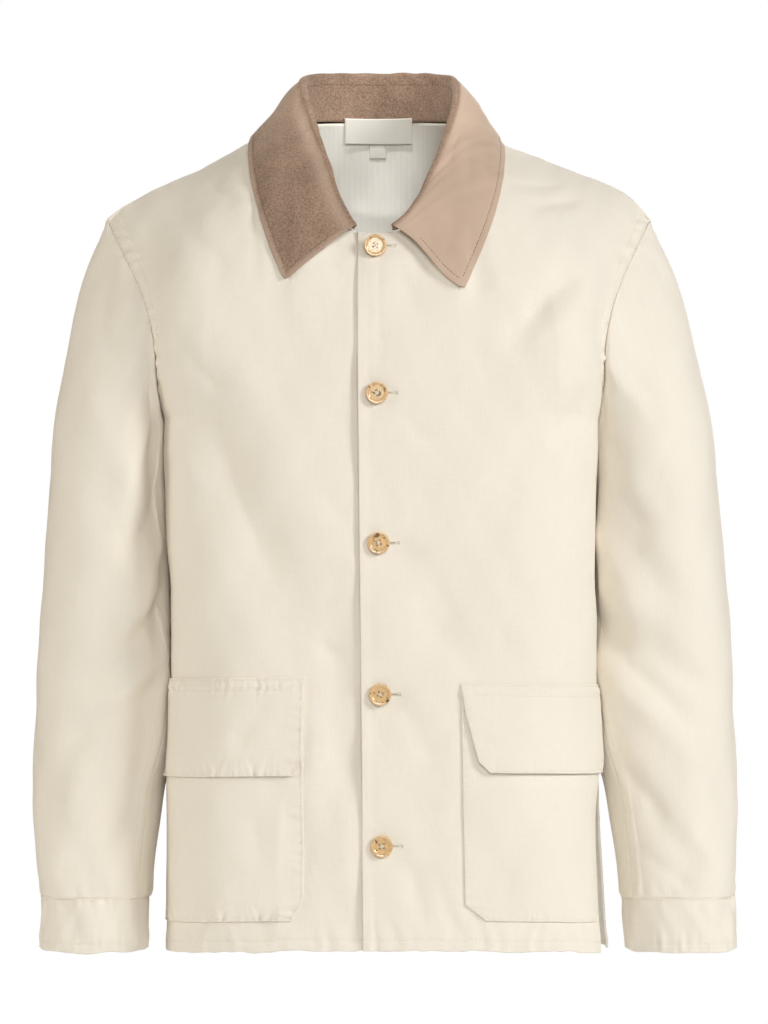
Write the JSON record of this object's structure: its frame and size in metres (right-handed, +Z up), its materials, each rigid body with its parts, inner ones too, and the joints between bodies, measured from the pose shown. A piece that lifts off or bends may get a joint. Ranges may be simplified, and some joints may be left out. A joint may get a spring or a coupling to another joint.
{
  "type": "barn jacket",
  "caption": "Men's unlined cotton twill barn jacket with suede collar, flapped patch pockets, horn buttons and turned-up cuffs, hollow in its worn form.",
  "frame": {"origin": "middle of the neck at the height where the shoulder seams start, where the wearer's shoulders and neck carry the garment", "axes": "+X the wearer's left, -Y the wearer's front, +Z up"},
  "size_m": [0.6256, 0.2648, 0.7885],
  "materials": {
    "cotton_twill": "matt cream slub twill",
    "taupe_suede": "napped suede",
    "honey_horn": "polished horn with dark specks",
    "woven_tape": "woven off-white tape"
  },
  "bodies": {
    "root": {"front_left": "cotton_twill", "front_right": "cotton_twill", "back": "cotton_twill", "sleeve_left_upper": "cotton_twill", "sleeve_left_under": "cotton_twill", "sleeve_right_upper": "cotton_twill", "sleeve_right_under": "cotton_twill", "cuff_left": "cotton_twill", "cuff_right": "cotton_twill", "pocket_left": "cotton_twill", "pocket_right": "cotton_twill", "flap_left": "cotton_twill", "flap_right": "cotton_twill", "collar": "taupe_suede", "button_1": "honey_horn", "button_2": "honey_horn", "button_3": "honey_horn", "button_4": "honey_horn", "button_5": "honey_horn", "label": "woven_tape", "size_tab": "woven_tape"}
  },
  "joints": []
}
